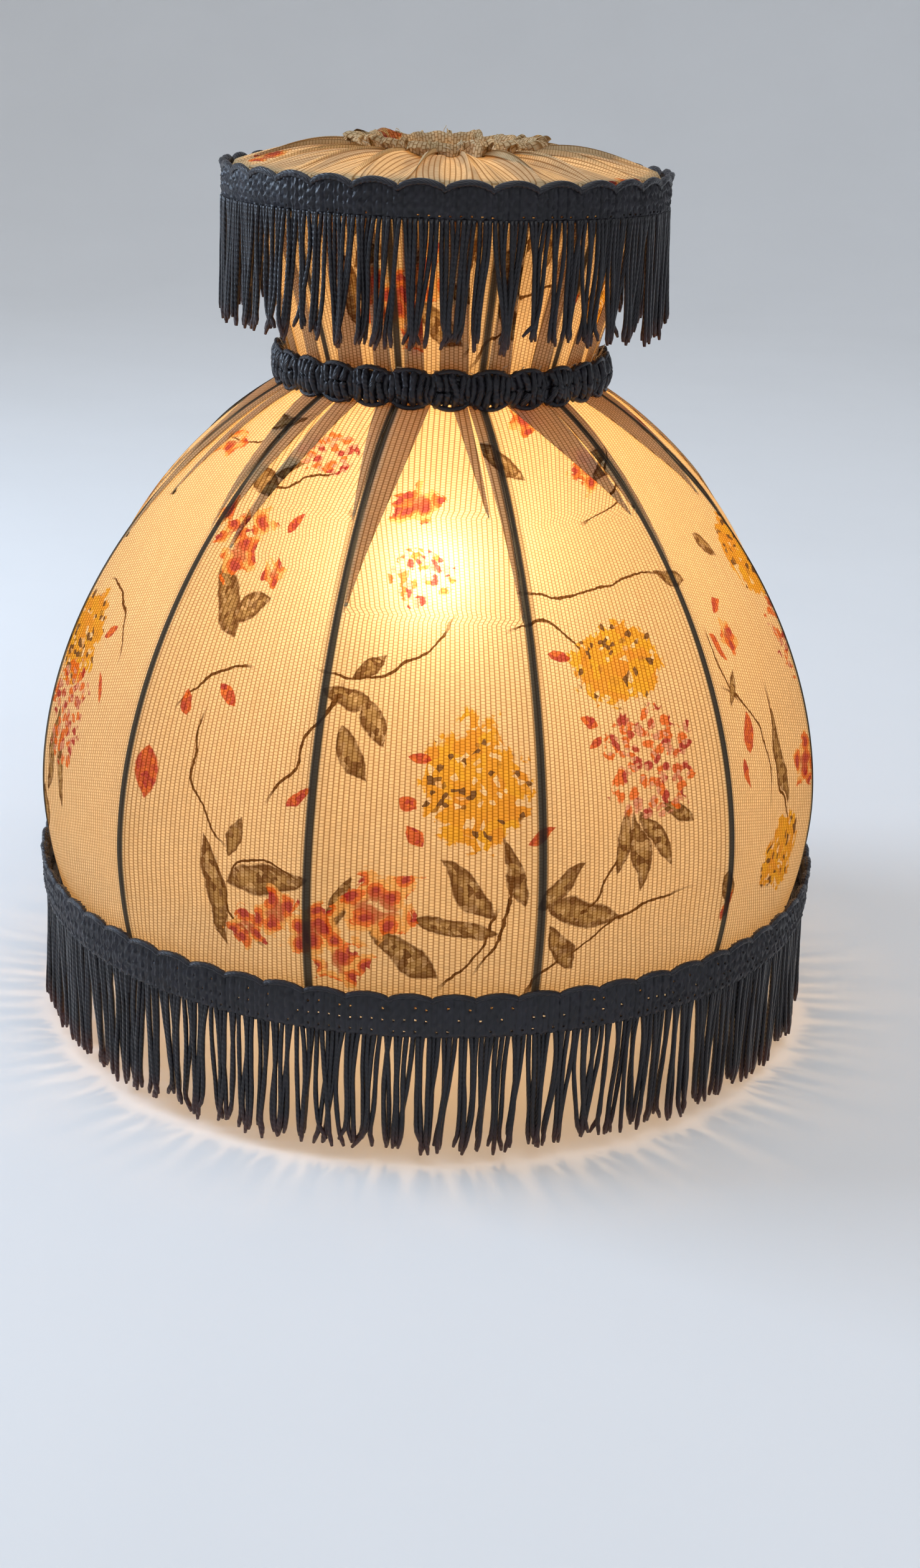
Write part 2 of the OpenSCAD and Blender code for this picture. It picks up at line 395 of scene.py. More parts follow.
def fringe(name, count, radius, top, length, thickness, gather, seed):
    """A bullion fringe: twisted cords side by side that bunch, cross and curl at their ends."""
    rng = np.random.default_rng(seed)
    group, middles = strand_groups(rng, count, 3, 7)
    pitch = TURN / count
    pull = rng.uniform(0.15, 1.0, len(middles)) * gather
    sway = np.cumsum(rng.normal(0, 0.5, len(middles)))
    sway -= np.linspace(0, sway[-1], len(middles))
    sway = np.clip(sway, -1.6, 1.6) * 1.1 * MM / radius
    drop = rng.normal(0, 1.0 * MM, len(middles))
    reach_out = rng.normal(0, 0.8 * MM, len(middles))
    tubes = Tubes(6)
    t = np.linspace(0, 1, 16)
    for k in range(count):
        own = group[k]
        start = (k + 0.5 + rng.normal(0, 0.08)) * pitch
        end = (middles[own] - k) * pitch * pull[own] + sway[own] + rng.normal(0, 0.7 * MM) / radius
        if rng.random() < 0.06:
            end += rng.choice([-1, 1]) * rng.uniform(2, 5) * MM / radius
        bow = rng.normal(0, 0.7 * MM) / radius
        sag = rng.normal(0, 0.35 * MM) / radius
        curl = rng.normal(0, 1.2 * MM) / radius
        own_length = length + drop[own] + rng.normal(0, 1.1 * MM)
        angle = start + end * t ** 1.4 + bow * np.sin(math.pi * t) + sag * np.sin(TURN * t)
        angle += curl * smoothstep(t, 0.82, 1.0)
        r = radius + (reach_out[own] + rng.normal(0, 0.7 * MM)) * t ** 1.2 + rng.normal(0, 0.25 * MM)
        z = top - own_length * (t - 0.035 * smoothstep(t, 0.88, 1.0))
        width = thickness / 2 * (1 + 0.06 * np.sin(19 * t + rng.uniform(0, TURN)))
        width[-1] *= 0.6
        tubes.add(around(angle, r, z), width)
    return tubes.build(name)


def puckered_braid(name, radius, low, top, scallops, cords, seed):
    """A gathered braid: short stout cords side by side, bunched into scallops at both edges."""
    rng = np.random.default_rng(seed)
    tubes = Tubes(8)
    t = np.linspace(-1, 1, 13)
    middle_z, half = (low + top) / 2, (top - low) / 2
    for k in range(scallops * cords):
        angle = TURN * (k + 0.5) / (scallops * cords)
        crest = scallop(angle, scallops)
        height = half * (0.60 + 0.47 * crest + rng.normal(0, 0.02))
        lean = rng.normal(0, 0.25 * MM) / radius
        wave = rng.normal(0, 0.30 * MM) / radius * np.sin(3.2 * t + rng.uniform(0, TURN))
        pinch = (TURN / scallops) * 0.10 * np.sin(angle * scallops) * t ** 2
        r = radius + (2.2 * MM * crest + 0.2 * MM) * (1 - t ** 2) ** 0.6 + rng.normal(0, 0.25 * MM)
        width = 1.3 * MM * (1 + 0.12 * np.sin(6 * t + rng.uniform(0, TURN))) * (1 - 0.25 * t ** 6)
        tubes.add(around(angle + lean * t + wave - pinch, r, middle_z + height * t), width)
    for side in (-1, 1):
        count = scallops * 12
        edge = TURN * np.arange(count) / count
        crest = scallop(edge, scallops)
        z = middle_z + side * half * (0.60 + 0.48 * crest)
        tubes.add(around(edge, radius + 1.3 * MM * crest + 0.2 * MM, z), 0.85 * MM, closed=True)
    backing = np.linspace(0, TURN, 181)[:-1]
    for share in (-0.62, -0.31, 0.0, 0.31, 0.62):
        tubes.add(around(backing, radius - 0.4 * MM, middle_z + half * share), 1.5 * MM, closed=True)
    return tubes.build(name)


def fold_wave(rng, angle, folds):
    """An irregular run of soft folds round a ring: their height and their sideways lean."""
    warp = sum(rng.normal(0, 0.9) / k * np.sin(k * angle + rng.uniform(0, TURN)) for k in (2, 3, 5, 8, 13))
    size = 1 + 0.25 * np.sin(7 * angle + rng.uniform(0, TURN))
    size += 0.2 * np.sin(11 * angle + rng.uniform(0, TURN))
    phase = folds * angle + warp
    height = (np.sin(phase + 0.6 * np.sin(phase)) + 0.3 * np.sin(2 * phase + 0.7)) * size
    return height, np.cos(phase) * size / folds


def frayed_edge(rng, angle):
    """The cut edge of the ruffle: its rise and fall round the ring."""
    count = len(angle)
    rough = np.tile(rng.normal(0, 0.8 * MM, count), 3)
    soft = np.convolve(rough, np.ones(15) / 15, "same")[count:2 * count]
    return soft + 0.8 * MM * np.sin(5 * angle + 1) + 0.5 * MM * np.sin(17 * angle)


def gathered_top(name, rim, rim_z, opening, opening_z, ruffle, print_start, seed):
    """The cloth over the top: from the rim in to a drawn-up opening, with a standing ruffle.

    print_start is the height in the print at the rim."""
    rng = np.random.default_rng(seed)
    angle = TURN * np.arange(1080) / 1080
    wave, lean = fold_wave(rng, angle, 21)
    crease, _ = fold_wave(rng, angle, 55)
    flutter, _ = fold_wave(rng, angle, 33)
    edge = frayed_edge(rng, angle)

    inward = np.linspace(0, 1, 22)[:, None]
    r_in = rim + (opening - rim) * inward + wave * 1.3 * MM * smoothstep(inward, 0.75, 1.0)
    z_in = rim_z - 4.0 * MM * (1 - smoothstep(inward, 0, 0.05)) + (opening_z - rim_z) * inward
    relief = 1.5 * MM * (wave - wave.min()) + 0.4 * MM * (crease - crease.min())
    z_in = z_in + relief * np.sin(math.pi * inward ** 1.1 * 0.8)

    rise = np.linspace(0, 1, 15)[1:, None]
    curl = 2.4 * rise
    sway = (wave * (1 - rise) + flutter * rise) * (1.4 + 0.8 * rise) * MM
    r_up = opening + 3.0 * MM * (1 - np.cos(curl)) + sway
    z_up = opening_z + wave * 1.4 * MM * (1 - rise) ** 2 + ruffle * np.sin(curl)
    z_up = z_up + (edge + 1.2 * MM * flutter) * rise ** 2

    drawn_in = np.concatenate([inward, np.ones_like(rise)])
    turn = angle + 1.7 * lean * drawn_in ** 0.5
    points = around(turn, np.concatenate([r_in, r_up]), np.concatenate([z_in, z_up]))
    v = print_start + np.concatenate([inward * (rim - opening), rise * ruffle + (rim - opening)])
    # The print keeps its width where the cloth is measured, a third of the way in
    measured = points[len(inward) // 3]
    steps = np.linalg.norm(np.diff(measured, axis=0, append=measured[:1]), axis=-1)
    u = np.concatenate([[0], np.cumsum(steps)[:-1]])
    uv = np.stack(np.broadcast_arrays(u, v), -1)
    faces = grid_faces(len(points), len(angle), wrap=True)
    return new_object(name, points.reshape(-1, 3), faces, uv.reshape(-1, 2))


def loose_threads(name, places, seed):
    """Frayed threads. Each place is (count, radius, z, longest, lean outward)."""
    rng = np.random.default_rng(seed)
    tubes = Tubes(4)
    t = np.linspace(0, 1, 9)
    for count, radius, z, longest, lean in places:
        for _ in range(count):
            long = longest * rng.uniform(0.35, 1.0)
            angle = rng.uniform(0, TURN)
            curl = rng.normal(0, 0.5) * long * t ** 2
            curl += 0.12 * long * np.sin(TURN * t * rng.uniform(0.5, 1.3))
            r = radius + long * t * lean * rng.uniform(0.3, 1.4)
            up = long * (t - 0.35 * t ** 2 * rng.uniform(0, 1.6))
            tubes.add(around(angle + curl / radius, r, z + up), 0.16 * MM)
    return tubes.build(name)


# ---------------------------------------------------------------- materials


class Nodes:
    """Short names for building a node tree."""

    def __init__(self, tree):
        self.tree = tree

    def node(self, kind, inputs=None, **settings):
        made = self.tree.nodes.new("ShaderNode" + kind)
        for key, value in settings.items():
            setattr(made, key, value)
        for key, value in (inputs or {}).items():
            self.feed(made.inputs[key], value)
        return made

    def feed(self, socket, value):
        if isinstance(value, bpy.types.NodeSocket):
            self.tree.links.new(value, socket)
        elif isinstance(value, (tuple, list)) and socket.type == "RGBA" and len(value) == 3:
            socket.default_value = (*value, 1.0)
        else:
            socket.default_value = value

    def math(self, operation, *values):
        made = self.node("Math", operation=operation)
        for socket, value in zip(made.inputs, values):
            self.feed(socket, value)
        return made.outputs[0]

    def vector(self, operation, *values):
        made = self.node("VectorMath", operation=operation)
        for socket, value in zip(made.inputs, values):
            self.feed(socket, value)
        return made.outputs["Vector"]

    def span(self, value, from_low, from_high, to_low=0.0, to_high=1.0):
        """Maps a value from one range to another and keeps it inside."""
        made = self.node("MapRange", {"Value": value, "From Min": from_low, "From Max": from_high,
                                      "To Min": to_low, "To Max": to_high})
        return made.outputs["Result"]

    def mix(self, share, a, b, blend="MIX"):
        made = self.node("Mix", data_type="RGBA", blend_type=blend)
        self.feed(made.inputs[0], share)
        self.feed(made.inputs[6], a)
        self.feed(made.inputs[7], b)
        return made.outputs[2]

    def noise(self, vector, scale, detail=2.0, roughness=0.5, out="Fac"):
        made = self.node("TexNoise", {"Vector": vector, "Scale": scale, "Detail": detail,
                                      "Roughness": roughness})
        return made.outputs[out]

    def cells(self, place, scale, randomness):
        """A flat pattern of cells: the distance from a cell's middle and three random values."""
        made = self.node("TexVoronoi", {"Vector": place, "Scale": scale, "Randomness": randomness},
                         voronoi_dimensions="2D")
        return made.outputs["Distance"], self.node("SeparateColor", {0: made.outputs["Color"]}).outputs

    def uv(self):
        return self.node("UVMap", uv_map="UVMap").outputs["UV"]

    def object_place(self):
        return self.node("TexCoord").outputs["Object"]

    def bump(self, height, distance, strength=1.0):
        return self.node("Bump", {"Height": height, "Distance": distance, "Strength": strength}).outputs[0]


def material(name, build):
    made = bpy.data.materials.new(name)
    made.use_nodes = True
    tree = made.node_tree
    tree.nodes.clear()
    out = tree.nodes.new("ShaderNodeOutputMaterial")
    tree.links.new(build(Nodes(tree)), out.inputs["Surface"])
    return made


# The print is measured in millimetres of flat cloth. It repeats every six panels, and upward
# every 240 mm. A motif's place is its panel, counted from 0 at the rib where the cloth starts,
# with the fraction across that panel, and its height above the hem.
PANEL_PRINT = 75 * MM
WIDE = PANEL_PRINT / MM
REPEAT_X, REPEAT_Y = 6 * WIDE, 240.0
# The top is cut from the upper end of the print, where the flowers are few
TOP_PRINT = 202 * MM

# (panel, height, half width, half height)
YELLOW_HEADS = [
    (2.72, 82, 14, 19), (3.47, 118, 16, 12), (0.15, 101, 12, 15), (5.0, 140, 14, 15),
    (4.62, 30, 13, 11),
]
RED_HEADS = [
    (3.58, 84, 17, 19), (0.22, 73, 14, 18), (5.05, 108, 15, 15), (2.45, 150, 11, 10),
    (1.62, 196, 12, 9),
]
# (panel, height, size)
ROSES = [
    (1.15, 158, 6.5), (1.27, 149, 7), (1.38, 162, 5.5), (1.02, 166, 5), (1.52, 147, 5),
    (2.30, 38, 10.5), (2.02, 29, 9), (1.84, 34, 7), (2.13, 18, 8), (1.70, 25, 6.5),
    (2.45, 178, 7), (4.35, 118, 4.5), (4.90, 60, 8), (5.15, 48, 6), (0.45, 190, 7),
    (3.55, 190, 8), (5.2, 200, 7), (3.2, 216, 6),
]
# (panel, height, half width, half length, lean)
BUDS = [
    (1.12, 71, 6, 9, 10), (4.29, 84, 4, 8, -8), (4.22, 70, 2, 6, 5), (1.47, 103, 2, 5, 55),
    (1.26, 98, 2, 5, 10), (1.93, 75, 2, 6, -50), (4.2, 116, 2, 6, 35), (4.35, 128, 2, 6, -65),
    (1.62, 165, 2.4, 6, -40), (3.15, 122, 2, 4, 80), (2.48, 88, 2, 4, 80), (2.42, 76, 3, 4, 60),
    (3.28, 100, 2, 4, 70), (3.3, 92, 2, 4, -60), (2.46, 64, 3, 4, 30), (3.0, 65, 2, 5, -60),
    (4.0, 27, 1.6, 8, -20), (0.42, 108, 2, 5, -60), (0.5, 88, 1.6, 6, 20),
]
# (panel, height, half length, half width, angle)
LEAVES = [
    (1.30, 133, 11, 4.5, -55), (1.45, 132, 8, 3.5, 30), (1.78, 44, 13, 4.5, 18),
    (1.52, 36, 16, 3.2, -75), (1.62, 57, 7, 2.6, 80), (2.10, 108, 8, 3.0, -20),
    (2.24, 100, 8, 3.0, -50), (2.16, 90, 8, 3.2, -60), (2.20, 120, 6, 2.4, 30),
    (2.68, 46, 11, 3.6, -45), (2.63, 32, 11, 3.2, -6), (3.08, 46, 9, 3.0, 30),
    (3.22, 36, 14, 4.0, -20), (3.10, 24, 9, 3.0, -60), (2.88, 52, 9, 2.6, 100),
    (3.44, 58, 10, 2.4, 80), (3.52, 54, 12, 2.4, 95), (3.60, 58, 9, 2.4, 115),
    (3.72, 66, 6, 2.2, 150), (4.62, 66, 16, 2.6, -80), (4.22, 101, 6, 1.8, 60),
    (4.02, 146, 7, 3.0, -20), (4.58, 150, 6, 2.6, -55), (0.10, 56, 14, 2.2, 85),
    (0.22, 52, 12, 2.0, 100), (0.02, 30, 9, 2.4, 80), (2.15, 38, 9, 2.6, 75),
    (2.42, 22, 12, 3.6, -35), (1.38, 185, 9, 3.2, 20), (1.22, 178, 8, 3.0, -30),
    (4.0, 34, 6, 3.0, 100), (5.25, 80, 11, 3.2, 60), (5.2, 160, 10, 3.2, -40),
    (3.9, 190, 10, 3.4, 30), (3.0, 196, 10, 3.2, -35), (0.9, 205, 10, 3.2, 15),
]
# (panel, height, half length, bend, angle)
STEMS = [
    (1.38, 72, 22, 0.30, -70), (1.75, 51, 12, -0.5, 15), (2.32, 118, 24, 0.35, 20),
    (3.45, 143, 36, 0.10, 3), (3.15, 133, 16, -0.5, -25), (3.30, 27, 34, -0.16, 25),
    (2.85, 40, 24, 0.2, 80), (3.35, 47, 20, 0.1, 48), (2.72, 24, 16, 0.1, 60),
    (4.42, 84, 26, -0.35, -60), (4.58, 62, 30, 0.2, -80), (0.45, 118, 20, -0.4, -35),
    (4.15, 108, 14, 0.2, -70), (1.36, 108, 15, -0.3, 30), (1.5, 180, 22, 0.2, 22),
    (1.95, 92, 22, 0.1, 62), (1.60, 30, 16, 0.3, -55), (5.1, 75, 26, 0.3, 70),
    (3.85, 178, 24, 0.25, 35), (0.75, 196, 26, 0.2, 20),
]
HALF_STEM = 0.5
ROSE_TURN = 37
PETAL_ANGLE = 72


def printed_sizes(motifs, across, up):
    """The motifs with larger half sizes, since the ink's ragged edge eats into them."""
    return [(x, y, across * a, up * b, *rest) for x, y, a, b, *rest in motifs]


def turned_roses():
    """The roses as wide five-petalled flowers, each turned a step further than the last."""
    return [(x, y, 1.32 * size, 1.18 * size, number * ROSE_TURN % PETAL_ANGLE)
            for number, (x, y, size) in enumerate(ROSES)]


def upright_buds():
    """The buds as leaf shapes that stand up, leaning as their last value says."""
    return [(x, y, length, width, lean + 90) for x, y, width, length, lean in BUDS]


def drawn_stems():
    """The stems as thin strips, with their bend measured in half widths."""
    return [(x, y, length, HALF_STEM, bend * length / HALF_STEM, angle)
            for x, y, length, bend, angle in STEMS]


def nearest_motif(n, cloth, motifs, outline):
    """The least distance to any of the motifs. Below 1 is inside one.

    A motif is its place, its half sizes and the rest: a stem's bend, and last the angle. The
    least distance so far rides in the coordinates' third part, so that the motifs are worked
    out one after another and the shader stays small."""
    x, y, _ = n.node("SeparateXYZ", {0: cloth}).outputs
    least = 99.0
    for across, up, half_x, half_y, *rest in motifs:
        carried = n.node("CombineXYZ", {0: x, 1: y, 2: least}).outputs[0]
        angle = rest[-1] if rest else 0.0
        local = n.node("Mapping", {"Vector": carried, "Location": ((across + 0.5) * WIDE, up, 0),
                                   "Scale": (half_x, half_y, 1), "Rotation": (0, 0, math.radians(angle))},
                       vector_type="TEXTURE").outputs[0]
        part_x, part_y, so_far = n.node("SeparateXYZ", {0: local}).outputs
        least = n.math("MINIMUM", so_far, outline(n, part_x, part_y, rest))
    return least


def oval(n, x, y, rest):
    return n.math("MULTIPLY_ADD", x, x, n.math("MULTIPLY", y, y))


def flower(n, x, y, rest):
    """Five pointed petals: an oval that the angle cuts into."""
    petals = n.math("COSINE", n.math("MULTIPLY", n.math("ARCTAN2", y, x), 5.0))
    return n.math("MULTIPLY", oval(n, x, y, rest), n.math("MULTIPLY_ADD", petals, -0.45, 1.25))


def leaf(n, x, y, rest):
    """Two arcs that meet in a point at either end."""
    return n.math("MULTIPLY_ADD", x, x, n.math("ABSOLUTE", y))


def stem(n, x, y, rest):
    """A strip bent along a parabola."""
    bent = n.math("ABSOLUTE", n.math("MULTIPLY_ADD", n.math("MULTIPLY", x, x), -rest[0], y))
    return n.math("MAXIMUM", bent, n.math("ABSOLUTE", x))


CREAM = (0.93, 0.77, 0.49)
AGED_CREAM = (0.82, 0.66, 0.42)
BROWN = (0.17, 0.085, 0.03)
OLIVE = (0.42, 0.30, 0.13)
YELLOW = (0.86, 0.52, 0.03)
AMBER = (0.80, 0.38, 0.04)
CRIMSON = (0.42, 0.025, 0.045)
ORANGE = (0.80, 0.20, 0.04)
PALE_ORANGE = (0.92, 0.56, 0.20)
FADED_RED = (0.72, 0.38, 0.30)
# Painted shadow of the rib wires on the cloth's face
RIB_SHADOW = (0.05, 0.045, 0.05)
PLEAT_SHADE = (0.20, 0.10, 0.05)
# Millimetres from one cord of the weave to the next
THREAD = 1.8


def drawn_place(n, flat):
    """The place in the print, wandering as a hand does: endless, and within one repeat.

    The repeat's seam is set half a panel aside, where it cuts through no motif."""
    mean = (0.5, 0.5, 0.5)
    broad = n.vector("SUBTRACT", n.noise(flat, 0.05, 1.0, 0.5, "Color"), mean)
    fine = n.vector("SUBTRACT", n.noise(flat, 0.4, 1.0, 0.5, "Color"), mean)
    bent = n.vector("MULTIPLY_ADD", broad, (10.0, 10.0, 0.0), flat)
    bent = n.vector("MULTIPLY_ADD", fine, (1.2, 1.2, 0.0), bent)
    shifted = n.vector("ADD", bent, (0.5 * WIDE, 0.0, 0.0))
    return bent, n.vector("WRAP", shifted, (REPEAT_X, REPEAT_Y, 1.0), (0.0, 0.0, 0.0))


def stems_and_leaves(n, colour, cloth, speck):
    stems = nearest_motif(n, cloth, drawn_stems(), stem)
    colour = n.mix(n.span(stems, 1.15, 0.85), colour, BROWN)
    leaves = nearest_motif(n, cloth, printed_sizes(LEAVES, 1.25, 1.3), leaf)
    ink = n.math("MULTIPLY", n.span(leaves, 1.05, 0.92), n.span(speck[1], 0.0, 0.35, 0.55, 0.95))
    vein = n.mix(n.span(leaves, 0.45, 0.85), OLIVE, BROWN)
    return n.mix(ink, colour, n.mix(n.span(speck[2], 0.5, 0.9), vein, BROWN))


def yellow_heads(n, colour, cloth, floret, speck, ragged):
    """Round heads of many small florets, with dark specks and gaps of bare cloth."""
    heads = nearest_motif(n, cloth, printed_sizes(YELLOW_HEADS, 1.2, 1.15), oval)
    ink = n.span(n.math("ADD", heads, ragged), 1.04, 0.94)
    gold = n.mix(floret[1], YELLOW, AMBER)
    gold = n.mix(n.span(speck[2], 0.86, 0.9), gold, BROWN)
    gold = n.mix(n.span(speck[1], 0.9, 0.94), gold, CREAM)
    return n.mix(n.math("MULTIPLY", ink, 0.93), colour, gold)


def red_heads(n, colour, cloth, floret_distance, floret, speck, ragged):
    """Heads of separate florets, each one blossom of crimson or orange."""
    heads = nearest_motif(n, cloth, RED_HEADS, oval)
    bloom = n.span(n.math("MULTIPLY_ADD", speck[0], 0.25, floret_distance), 0.62, 0.5)
    ink = n.math("MULTIPLY", n.span(n.math("ADD", heads, ragged), 1.05, 0.95), bloom)
    petal = n.mix(n.span(floret[0], 0.35, 0.5), CRIMSON, ORANGE)
    petal = n.mix(n.span(speck[2], 0.6, 0.7), petal, FADED_RED)
    return n.mix(n.math("MULTIPLY", ink, 0.9), colour, petal)


def roses(n, colour, cloth, bent, speck, ragged):
    """Five-petalled flowers with a dark heart, shaded from crimson to a pale edge."""
    blooms = nearest_motif(n, cloth, turned_roses(), flower)
    broad_distance, _ = n.cells(bent, 0.14, 0.9)
    along_petal = n.math("MULTIPLY_ADD", speck[1], 0.12, broad_distance)
    shaded = n.mix(n.span(along_petal, 0.24, 0.34), CRIMSON, ORANGE)
    shaded = n.mix(n.span(along_petal, 0.46, 0.52), shaded, PALE_ORANGE)
    shaded = n.mix(n.span(blooms, 0.25, 0.1, 0.0, 0.7), shaded, CRIMSON)
    ink = n.span(n.math("ADD", blooms, ragged), 1.05, 0.95)
    ink = n.math("MULTIPLY", ink, n.span(along_petal, 0.80, 0.68))
    return n.mix(n.math("MULTIPLY", ink, 0.9), colour, shaded)


def printed_flowers(n, flat):
    """A garden print on a cream ground: stems and leaves, then heads, roses and buds."""
    bent, cloth = drawn_place(n, flat)
    floret_distance, floret = n.cells(bent, 0.24, 0.85)
    _, speck = n.cells(bent, 0.55, 1.0)
    ragged = n.math("MULTIPLY_ADD", floret[2], 0.55, n.math("MULTIPLY_ADD", speck[0], 0.4, -0.47))
    colour = n.mix(n.span(n.noise(flat, 0.02, 3.0), 0.35, 0.65, 0.0, 0.35), CREAM, AGED_CREAM)
    colour = stems_and_leaves(n, colour, cloth, speck)
    colour = yellow_heads(n, colour, cloth, floret, speck, ragged)
    colour = red_heads(n, colour, cloth, floret_distance, floret, speck, ragged)
    colour = roses(n, colour, cloth, bent, speck, ragged)
    buds = n.span(nearest_motif(n, cloth, upright_buds(), leaf), 1.05, 0.9)
    return n.mix(n.math("MULTIPLY", buds, 0.92), colour, n.mix(speck[0], CRIMSON, ORANGE))


def ribbed_weave(n, flat, across):
    """Cotton with cords up and down: the threads' colour and their relief."""
    upright = n.node("Mapping", {"Vector": flat, "Rotation": (0, 0, math.pi / 2)}).outputs[0]
    weave = n.node("TexBrick", {"Vector": upright, "Color1": (0.84, 0.84, 0.84), "Color2": (1, 1, 1),
                                "Mortar": (0.50, 0.40, 0.29), "Mortar Size": 0.15,
                                "Mortar Smooth": 0.5, "Bias": 0.3, "Scale": 1.0,
                                "Brick Width": 1.1, "Row Height": THREAD})
    slub = n.noise(n.vector("MULTIPLY", flat, (1.0, 0.06, 1.0)), 0.9, 2.0)
    colour = n.mix(n.span(slub, 0.3, 0.7, 0.0, 0.35), weave.outputs["Color"], (0.72, 0.6, 0.44))
    furrow = n.span(n.math("PINGPONG", across, THREAD / 2), 0.34, 0.08, 0.0, 0.85)
    return n.mix(furrow, colour, (0.38, 0.27, 0.17)), n.bump(weave.outputs["Fac"], -0.2 * MM, 0.5)


def printed_cloth(n, over_ribs):
    """Woven cotton with a printed garden pattern, lit from both sides.

    Over the ribs the wire's shadow is painted in: the face is darkened and the light from behind nearly cut
    off. The gathered top has no ribs, but painted shade in streaks where the cloth is pleated under itself."""
    flat = n.vector("MULTIPLY", n.uv(), (1 / MM, 1 / MM, 1 / MM))
    across, along, _ = n.node("SeparateXYZ", {0: flat}).outputs
    threads, normal = ribbed_weave(n, flat, across)
    colour = n.mix(1.0, printed_flowers(n, flat), threads, "MULTIPLY")
    if over_ribs:
        # Painted shadow along each rib: the face is darkened and the light through the cloth nearly cut off
        rib_shadow_mask = n.span(n.math("PINGPONG", across, WIDE / 2), 1.9, 1.2)
        glow = n.mix(rib_shadow_mask, colour, tuple(c * 0.10 for c in CREAM))
        colour = n.mix(n.math("MULTIPLY", rib_shadow_mask, 0.8), colour, RIB_SHADOW)
    else:
        # Painted shade: noise streaks darken the light through the top, standing in for the pleats' extra
        # layers
        narrow = {0: n.math("MULTIPLY", across, 0.11), 1: n.math("MULTIPLY", along, 0.012)}
        pleats = n.noise(n.node("CombineXYZ", narrow).outputs[0], 1.0, 3.0, 0.6)
        glow = n.mix(n.span(pleats, 0.46, 0.54, 0.0, 0.75), colour, PLEAT_SHADE)
    face = n.node("BsdfDiffuse", {"Color": colour, "Roughness": 0.5, "Normal": normal})
    through = n.node("BsdfTranslucent", {"Color": glow})
    share = 0.62 if over_ribs else 0.45
    return n.node("MixShader", {0: share, 1: face.outputs[0], 2: through.outputs[0]}).outputs[0]


CORD_LAY = 1.9 * MM


def twisted_cord(n, dark, tip, tip_from, tip_to):
    """Rayon cord: a dark sheen, a two-ply twist along its length, painted shade in the twist's grooves and
    paler worn ends.
    """
    along, round_it, _ = n.node("SeparateXYZ", {0: n.uv()}).outputs
    plies = n.math("MULTIPLY", round_it, 2 * TURN)
    lay = n.math("SINE", n.math("MULTIPLY_ADD", along, TURN / CORD_LAY, plies))
    place = n.object_place()
    wear = n.noise(place, 160.0, 3.0)
    colour = n.mix(n.span(wear, 0.35, 0.75), dark, tuple(c * 2.2 for c in dark))
    colour = n.mix(n.span(along, tip_from, tip_to, 0.0, 0.75), colour, tip)
    # Painted shade: the cord is darkened in the grooves between its two plies
    colour = n.mix(n.span(lay, -1.0, 0.2, 0.35, 0.0), colour, tuple(c * 0.4 for c in dark))
    shader = n.node("BsdfPrincipled", {"Base Color": colour, "Roughness": 0.38, "Specular IOR Level": 0.4,
                                       "Sheen Weight": 0.06, "Sheen Roughness": 0.4,
                                       "Normal": n.bump(lay, 0.15 * MM, 0.45)})
    return shader.outputs[0]


def fringe_cord(n):
    return twisted_cord(n, (0.006, 0.005, 0.007), (0.11, 0.035, 0.025), 35 * MM, 47 * MM)


def braid_cord(n):
    """The same cord in the braids, where its ends are hidden and so its worn end lies beyond it."""
    return twisted_cord(n, (0.006, 0.005, 0.008), (0.02, 0.01, 0.01), 1.0, 2.0)


def plain_thread(n):
    place = n.object_place()
    colour = n.mix(n.noise(place, 400.0, 2.0), (0.62, 0.5, 0.33), (0.85, 0.77, 0.6))
    face = n.node("BsdfDiffuse", {"Color": colour})
    through = n.node("BsdfTranslucent", {"Color": colour})
    return n.node("MixShader", {0: 0.3, 1: face.outputs[0], 2: through.outputs[0]}).outputs[0]


def lacquered_wire(n):
    place = n.object_place()
    worn = n.noise(place, 220.0, 4.0, 0.65)
    colour = n.mix(n.span(worn, 0.58, 0.68), (0.018, 0.013, 0.011), (0.11, 0.075, 0.05))
    shader = n.node("BsdfPrincipled", {"Base Color": colour, "Metallic": 0.5,
                                       "Roughness": n.span(worn, 0.3, 0.7, 0.35, 0.6),
                                       "Normal": n.bump(worn, 0.1 * MM, 0.5)})
    return shader.outputs[0]


def brassed_steel(n):
    place = n.object_place()
    worn = n.noise(place, 150.0, 4.0, 0.6)
    colour = n.mix(n.span(worn, 0.4, 0.7), (0.55, 0.38, 0.15), (0.32, 0.2, 0.08))
    shader = n.node("BsdfPrincipled", {"Base Color": colour, "Metallic": 0.9,
                                       "Roughness": n.span(worn, 0.3, 0.7, 0.28, 0.5)})
    return shader.outputs[0]


def cotton_tape(n):
    place = n.object_place()
    spun = n.node("TexWave", {"Vector": place, "Scale": 420.0, "Distortion": 1.5, "Detail": 1.0},
                  bands_direction="Z").outputs["Fac"]
    colour = n.mix(n.span(spun, 0.2, 0.8), (0.55, 0.47, 0.34), (0.78, 0.7, 0.55))
    shader = n.node("BsdfPrincipled", {"Base Color": colour, "Roughness": 0.9,
                                       "Normal": n.bump(spun, 0.1 * MM, 0.5)})
    return shader.outputs[0]


cloth_material = material("floral_cotton", lambda n: printed_cloth(n, True))
top_material = material("floral_cotton_top", lambda n: printed_cloth(n, False))
fringe_material = material("fringe_cord", fringe_cord)
braid_material = material("braid_cord", braid_cord)
thread_material = material("plain_thread", plain_thread)
wire_material = material("lacquered_wire", lacquered_wire)
brass_material = material("brassed_steel", brassed_steel)
tape_material = material("cotton_tape", cotton_tape)


def repaint(node, new):
    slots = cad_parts[node].data.materials
    slots.clear()
    slots.append(new)


